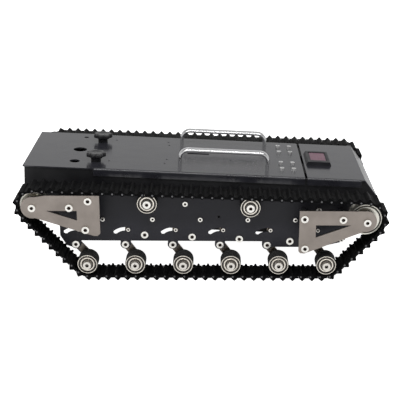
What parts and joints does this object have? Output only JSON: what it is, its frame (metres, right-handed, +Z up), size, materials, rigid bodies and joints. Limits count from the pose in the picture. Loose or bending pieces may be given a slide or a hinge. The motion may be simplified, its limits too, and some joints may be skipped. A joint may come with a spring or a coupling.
{
  "type": "tracked robot chassis",
  "caption": "Low tracked robot chassis with sprung trailing arms, flat hinged deck with two carrying handles and star knobs, and triangular end plates.",
  "frame": {"origin": "on the ground under the middle of the vehicle, midway between the tracks", "axes": "+X towards the drive end, +Y to the right side, +Z up"},
  "size_m": [0.5709, 0.3428, 0.1821],
  "materials": {
    "hull_black": "satin powder coat",
    "deck_black": "semi-gloss anodised sheet",
    "plate_black": "satin anodised plate",
    "handle_silver": "polished",
    "meter_black": "fine matt",
    "zinc": "plain zinc",
    "knob_black": "satin moulded",
    "insert_brass": "turned",
    "battery_wrap": "shrink sleeve",
    "circuit_board": "solder resist",
    "motor_steel": "turned",
    "end_plate_steel": "rolled stainless",
    "arm_steel": "machined",
    "tyre_black": "moulded",
    "wheel_aluminium": "turned",
    "track_black": "moulded engineering plastic",
    "pin_steel": "drawn",
    "spring_steel": "bright drawn wire",
    "screw_bright": "bright plated"
  },
  "bodies": {
    "chassis": {"hull": "hull_black", "tail_cover": "deck_black", "battery_meter": "meter_black", "hull_hinge_leaves": "zinc", "knob_inserts": "insert_brass", "battery_pack": "battery_wrap", "motor_driver": "circuit_board", "gear_motors": "motor_steel", "suspension_plate_left": "plate_black", "suspension_plate_right": "plate_black", "idler_plates": "end_plate_steel", "drive_plates": "end_plate_steel", "track_links_left": "track_black", "track_links_right": "track_black", "track_pins": "pin_steel", "suspension_springs": "spring_steel", "m4_screws": "screw_bright", "m6_screws": "screw_bright", "spacers": "zinc", "wheel_axles": "zinc"},
    "lid": {"lid": "deck_black", "carry_handles": "handle_silver", "lid_hinge_leaves": "zinc", "lid_screws": "screw_bright"},
    "star_knob_left": {"star_knob_left": "knob_black"},
    "star_knob_right": {"star_knob_right": "knob_black"},
    "drive_wheel_left": {"drive_wheel_left": "wheel_aluminium", "drive_axle_left": "zinc"},
    "idler_left": {"idler_left": "wheel_aluminium"},
    "return_roller_l1": {"return_roller_l1": "tyre_black"},
    "return_roller_l2": {"return_roller_l2": "tyre_black"},
    "arm_l1": {"arm_l1": "arm_steel"},
    "road_wheel_l1": {"road_wheel_l1": "tyre_black"},
    "arm_l2": {"arm_l2": "arm_steel"},
    "road_wheel_l2": {"road_wheel_l2": "tyre_black"},
    "arm_l3": {"arm_l3": "arm_steel"},
    "road_wheel_l3": {"road_wheel_l3": "tyre_black"},
    "arm_l4": {"arm_l4": "arm_steel"},
    "road_wheel_l4": {"road_wheel_l4": "tyre_black"},
    "arm_l5": {"arm_l5": "arm_steel"},
    "road_wheel_l5": {"road_wheel_l5": "tyre_black"},
    "arm_l6": {"arm_l6": "arm_steel"},
    "road_wheel_l6": {"road_wheel_l6": "tyre_black"},
    "drive_wheel_right": {"drive_wheel_right": "wheel_aluminium", "drive_axle_right": "zinc"},
    "idler_right": {"idler_right": "wheel_aluminium"},
    "return_roller_r1": {"return_roller_r1": "tyre_black"},
    "return_roller_r2": {"return_roller_r2": "tyre_black"},
    "arm_r1": {"arm_r1": "arm_steel"},
    "road_wheel_r1": {"road_wheel_r1": "tyre_black"},
    "arm_r2": {"arm_r2": "arm_steel"},
    "road_wheel_r2": {"road_wheel_r2": "tyre_black"},
    "arm_r3": {"arm_r3": "arm_steel"},
    "road_wheel_r3": {"road_wheel_r3": "tyre_black"},
    "arm_r4": {"arm_r4": "arm_steel"},
    "road_wheel_r4": {"road_wheel_r4": "tyre_black"},
    "arm_r5": {"arm_r5": "arm_steel"},
    "road_wheel_r5": {"road_wheel_r5": "tyre_black"},
    "arm_r6": {"arm_r6": "arm_steel"},
    "road_wheel_r6": {"road_wheel_r6": "tyre_black"}
  },
  "joints": [
    {"name": "lid_hinge", "type": "hinge", "parent": "chassis", "child": "lid", "pos_m": [0.1624, 0, 0.14423], "axis": [0, 1, 0], "range_deg": [0, 90]},
    {"name": "star_knob_left_turn", "type": "hinge", "parent": "lid", "child": "star_knob_left", "pos_m": [-0.17156, -0.053, 0.15944], "axis": [0.041, 0, 0.9992], "continuous": true},
    {"name": "star_knob_right_turn", "type": "hinge", "parent": "lid", "child": "star_knob_right", "pos_m": [-0.17156, 0.053, 0.15944], "axis": [0.041, 0, 0.9992], "continuous": true},
    {"name": "drive_wheel_left_turn", "type": "hinge", "parent": "chassis", "child": "drive_wheel_left", "pos_m": [0.2503, -0.143, 0.1], "axis": [0, 1, 0], "continuous": true},
    {"name": "idler_left_turn", "type": "hinge", "parent": "chassis", "child": "idler_left", "pos_m": [-0.2566, -0.143, 0.121], "axis": [0, 1, 0], "continuous": true},
    {"name": "return_roller_l1_turn", "type": "hinge", "parent": "chassis", "child": "return_roller_l1", "pos_m": [-0.085, -0.141, 0.12041], "axis": [0, 1, 0], "continuous": true},
    {"name": "return_roller_l2_turn", "type": "hinge", "parent": "chassis", "child": "return_roller_l2", "pos_m": [0.0735, -0.141, 0.11516], "axis": [0, 1, 0], "continuous": true},
    {"name": "arm_l1_swing", "type": "hinge", "parent": "chassis", "child": "arm_l1", "pos_m": [-0.1977, -0.1267, 0.0482], "axis": [0, -1, 0], "range_deg": [0, 44], "deforming": ["suspension_springs"]},
    {"name": "road_wheel_l1_turn", "type": "hinge", "parent": "arm_l1", "child": "road_wheel_l1", "pos_m": [-0.1774, -0.1485, 0.0258], "axis": [0, 1, 0], "continuous": true},
    {"name": "arm_l2_swing", "type": "hinge", "parent": "chassis", "child": "arm_l2", "pos_m": [-0.1203, -0.1267, 0.0482], "axis": [0, -1, 0], "range_deg": [0, 48], "deforming": ["suspension_springs"]},
    {"name": "road_wheel_l2_turn", "type": "hinge", "parent": "arm_l2", "child": "road_wheel_l2", "pos_m": [-0.1036, -0.1485, 0.0258], "axis": [0, 1, 0], "continuous": true},
    {"name": "arm_l3_swing", "type": "hinge", "parent": "chassis", "child": "arm_l3", "pos_m": [-0.0465, -0.1267, 0.0482], "axis": [0, -1, 0], "range_deg": [0, 48], "deforming": ["suspension_springs"]},
    {"name": "road_wheel_l3_turn", "type": "hinge", "parent": "arm_l3", "child": "road_wheel_l3", "pos_m": [-0.0298, -0.1485, 0.0258], "axis": [0, 1, 0], "continuous": true},
    {"name": "arm_l4_swing", "type": "hinge", "parent": "chassis", "child": "arm_l4", "pos_m": [0.0273, -0.1267, 0.0482], "axis": [0, -1, 0], "range_deg": [0, 48], "deforming": ["suspension_springs"]},
    {"name": "road_wheel_l4_turn", "type": "hinge", "parent": "arm_l4", "child": "road_wheel_l4", "pos_m": [0.044, -0.1485, 0.0258], "axis": [0, 1, 0], "continuous": true},
    {"name": "arm_l5_swing", "type": "hinge", "parent": "chassis", "child": "arm_l5", "pos_m": [0.1011, -0.1267, 0.0482], "axis": [0, -1, 0], "range_deg": [0, 34], "deforming": ["suspension_springs"]},
    {"name": "road_wheel_l5_turn", "type": "hinge", "parent": "arm_l5", "child": "road_wheel_l5", "pos_m": [0.1178, -0.1485, 0.0258], "axis": [0, 1, 0], "continuous": true},
    {"name": "arm_l6_swing", "type": "hinge", "parent": "chassis", "child": "arm_l6", "pos_m": [0.1749, -0.1267, 0.0482], "axis": [0, -1, 0], "range_deg": [0, 42], "deforming": ["suspension_springs"]},
    {"name": "road_wheel_l6_turn", "type": "hinge", "parent": "arm_l6", "child": "road_wheel_l6", "pos_m": [0.1916, -0.1485, 0.0258], "axis": [0, 1, 0], "continuous": true},
    {"name": "drive_wheel_right_turn", "type": "hinge", "parent": "chassis", "child": "drive_wheel_right", "pos_m": [0.2503, 0.143, 0.1], "axis": [0, 1, 0], "continuous": true},
    {"name": "idler_right_turn", "type": "hinge", "parent": "chassis", "child": "idler_right", "pos_m": [-0.2566, 0.143, 0.121], "axis": [0, 1, 0], "continuous": true},
    {"name": "return_roller_r1_turn", "type": "hinge", "parent": "chassis", "child": "return_roller_r1", "pos_m": [-0.085, 0.141, 0.12041], "axis": [0, 1, 0], "continuous": true},
    {"name": "return_roller_r2_turn", "type": "hinge", "parent": "chassis", "child": "return_roller_r2", "pos_m": [0.0735, 0.141, 0.11516], "axis": [0, 1, 0], "continuous": true},
    {"name": "arm_r1_swing", "type": "hinge", "parent": "chassis", "child": "arm_r1", "pos_m": [-0.1977, 0.1267, 0.0482], "axis": [0, -1, 0], "range_deg": [0, 44], "deforming": ["suspension_springs"]},
    {"name": "road_wheel_r1_turn", "type": "hinge", "parent": "arm_r1", "child": "road_wheel_r1", "pos_m": [-0.1774, 0.1485, 0.0258], "axis": [0, 1, 0], "continuous": true},
    {"name": "arm_r2_swing", "type": "hinge", "parent": "chassis", "child": "arm_r2", "pos_m": [-0.1203, 0.1267, 0.0482], "axis": [0, -1, 0], "range_deg": [0, 48], "deforming": ["suspension_springs"]},
    {"name": "road_wheel_r2_turn", "type": "hinge", "parent": "arm_r2", "child": "road_wheel_r2", "pos_m": [-0.1036, 0.1485, 0.0258], "axis": [0, 1, 0], "continuous": true},
    {"name": "arm_r3_swing", "type": "hinge", "parent": "chassis", "child": "arm_r3", "pos_m": [-0.0465, 0.1267, 0.0482], "axis": [0, -1, 0], "range_deg": [0, 48], "deforming": ["suspension_springs"]},
    {"name": "road_wheel_r3_turn", "type": "hinge", "parent": "arm_r3", "child": "road_wheel_r3", "pos_m": [-0.0298, 0.1485, 0.0258], "axis": [0, 1, 0], "continuous": true},
    {"name": "arm_r4_swing", "type": "hinge", "parent": "chassis", "child": "arm_r4", "pos_m": [0.0273, 0.1267, 0.0482], "axis": [0, -1, 0], "range_deg": [0, 48], "deforming": ["suspension_springs"]},
    {"name": "road_wheel_r4_turn", "type": "hinge", "parent": "arm_r4", "child": "road_wheel_r4", "pos_m": [0.044, 0.1485, 0.0258], "axis": [0, 1, 0], "continuous": true},
    {"name": "arm_r5_swing", "type": "hinge", "parent": "chassis", "child": "arm_r5", "pos_m": [0.1011, 0.1267, 0.0482], "axis": [0, -1, 0], "range_deg": [0, 34], "deforming": ["suspension_springs"]},
    {"name": "road_wheel_r5_turn", "type": "hinge", "parent": "arm_r5", "child": "road_wheel_r5", "pos_m": [0.1178, 0.1485, 0.0258], "axis": [0, 1, 0], "continuous": true},
    {"name": "arm_r6_swing", "type": "hinge", "parent": "chassis", "child": "arm_r6", "pos_m": [0.1749, 0.1267, 0.0482], "axis": [0, -1, 0], "range_deg": [0, 42], "deforming": ["suspension_springs"]},
    {"name": "road_wheel_r6_turn", "type": "hinge", "parent": "arm_r6", "child": "road_wheel_r6", "pos_m": [0.1916, 0.1485, 0.0258], "axis": [0, 1, 0], "continuous": true}
  ],
  "couplings": [
    {"joint": "idler_left_turn", "follows": "drive_wheel_left_turn", "ratio": 1.2},
    {"joint": "return_roller_l1_turn", "follows": "drive_wheel_left_turn", "ratio": 1.5849},
    {"joint": "return_roller_l2_turn", "follows": "drive_wheel_left_turn", "ratio": 1.5849},
    {"joint": "road_wheel_l1_turn", "follows": "drive_wheel_left_turn", "ratio": 1.5849},
    {"joint": "road_wheel_l2_turn", "follows": "drive_wheel_left_turn", "ratio": 1.5849},
    {"joint": "road_wheel_l3_turn", "follows": "drive_wheel_left_turn", "ratio": 1.5849},
    {"joint": "road_wheel_l4_turn", "follows": "drive_wheel_left_turn", "ratio": 1.5849},
    {"joint": "road_wheel_l5_turn", "follows": "drive_wheel_left_turn", "ratio": 1.5849},
    {"joint": "road_wheel_l6_turn", "follows": "drive_wheel_left_turn", "ratio": 1.5849},
    {"joint": "idler_right_turn", "follows": "drive_wheel_right_turn", "ratio": 1.2},
    {"joint": "return_roller_r1_turn", "follows": "drive_wheel_right_turn", "ratio": 1.5849},
    {"joint": "return_roller_r2_turn", "follows": "drive_wheel_right_turn", "ratio": 1.5849},
    {"joint": "road_wheel_r1_turn", "follows": "drive_wheel_right_turn", "ratio": 1.5849},
    {"joint": "road_wheel_r2_turn", "follows": "drive_wheel_right_turn", "ratio": 1.5849},
    {"joint": "road_wheel_r3_turn", "follows": "drive_wheel_right_turn", "ratio": 1.5849},
    {"joint": "road_wheel_r4_turn", "follows": "drive_wheel_right_turn", "ratio": 1.5849},
    {"joint": "road_wheel_r5_turn", "follows": "drive_wheel_right_turn", "ratio": 1.5849},
    {"joint": "road_wheel_r6_turn", "follows": "drive_wheel_right_turn", "ratio": 1.5849}
  ]
}
